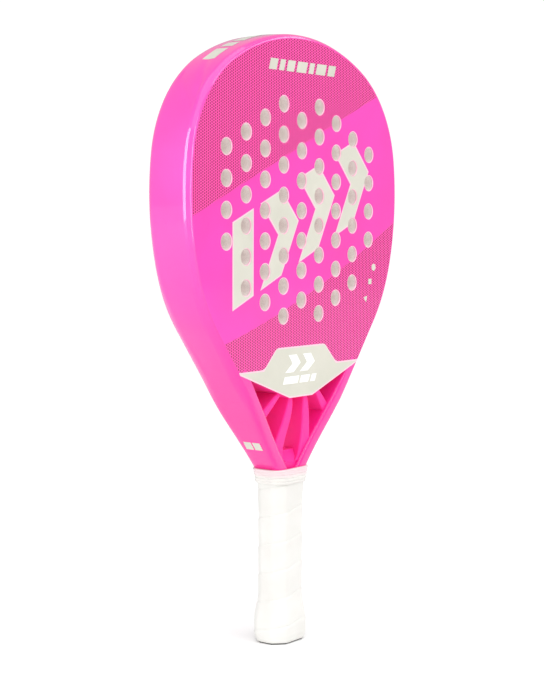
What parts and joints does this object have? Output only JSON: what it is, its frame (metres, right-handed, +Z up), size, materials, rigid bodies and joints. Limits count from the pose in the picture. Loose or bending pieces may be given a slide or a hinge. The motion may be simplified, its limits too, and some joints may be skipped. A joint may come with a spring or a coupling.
{
  "type": "padel racket",
  "caption": "Teardrop padel racket with a drilled foam-core face, a hollow moulded frame, an open ribbed throat and a wrapped octagonal handle.",
  "frame": {"origin": "middle of the butt end", "axes": "+Z up the handle to the head, +X across the face, the front face looks along -Y"},
  "size_m": [0.2588, 0.0388, 0.4552],
  "materials": {
    "frame_paint": "glossy pearl lacquer",
    "face_print": "glossy lacquer over a dotted print",
    "bladder_film": "thin film",
    "foam_core": "matt foam",
    "white_foam": "rigid foam",
    "pallet_foam": "rigid foam",
    "cap_plastic": "moulded, matt",
    "screw_steel": "plain",
    "grip_band": "soft matt",
    "tape_rubber": "soft matt, ridged",
    "beige_print": "satin print",
    "white_print": "satin print"
  },
  "bodies": {
    "root": {"frame_tube": "frame_paint", "frame_bladder": "bladder_film", "front_face": "face_print", "rear_face": "face_print", "core": "foam_core", "bridge_shell": "frame_paint", "bridge_foam": "white_foam", "rib_left_inner": "frame_paint", "rib_left_outer": "frame_paint", "rib_right_inner": "frame_paint", "rib_right_outer": "frame_paint", "neck_wedge": "frame_paint", "handle_pallet_front": "pallet_foam", "handle_pallet_rear": "pallet_foam", "butt_cap": "cap_plastic", "cap_screws": "screw_steel", "base_grip": "grip_band", "finishing_tape": "tape_rubber", "heart_plate_front": "beige_print", "heart_plate_rear": "beige_print", "emblem_front": "beige_print", "emblem_rear": "beige_print", "plate_marks_front": "white_print", "plate_marks_rear": "white_print", "word_bars": "beige_print", "small_icons": "beige_print", "rim_bars": "beige_print", "side_mark_left": "beige_print", "side_mark_right": "beige_print"}
  },
  "joints": []
}
